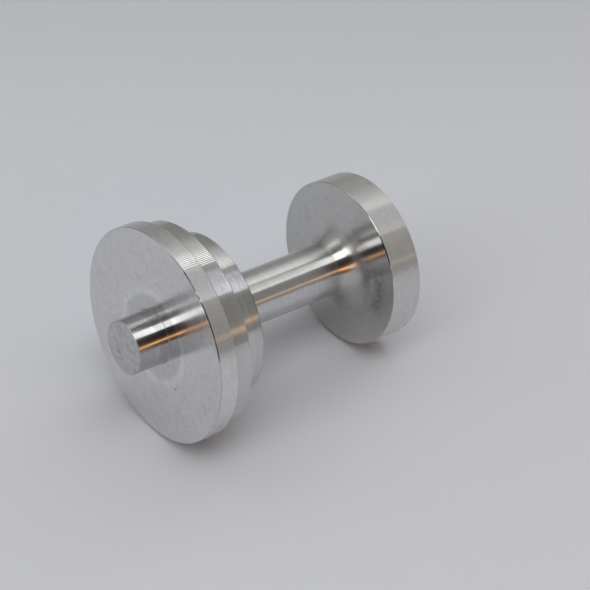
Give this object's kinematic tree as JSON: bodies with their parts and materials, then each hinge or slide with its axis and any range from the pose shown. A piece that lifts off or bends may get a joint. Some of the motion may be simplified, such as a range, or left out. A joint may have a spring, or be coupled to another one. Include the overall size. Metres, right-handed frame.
{
  "type": "turned flanged spool",
  "caption": "Turned aluminium spool: a stepped flange with a short pilot stub on its face, a slim neck and a plain rear flange.",
  "frame": {"origin": "on the turning axis, in the flat back face of the rear flange, on which the part stands", "axes": "+Z along the turning axis from the rear flange to the pilot stub; +X and +Y are any two square directions, because the part is the same all round"},
  "size_m": [0.04, 0.04, 0.0544],
  "materials": {
    "turned_aluminium": "fine turned, bare metal"
  },
  "bodies": {
    "root": {"turned_spool": "turned_aluminium"}
  },
  "joints": []
}
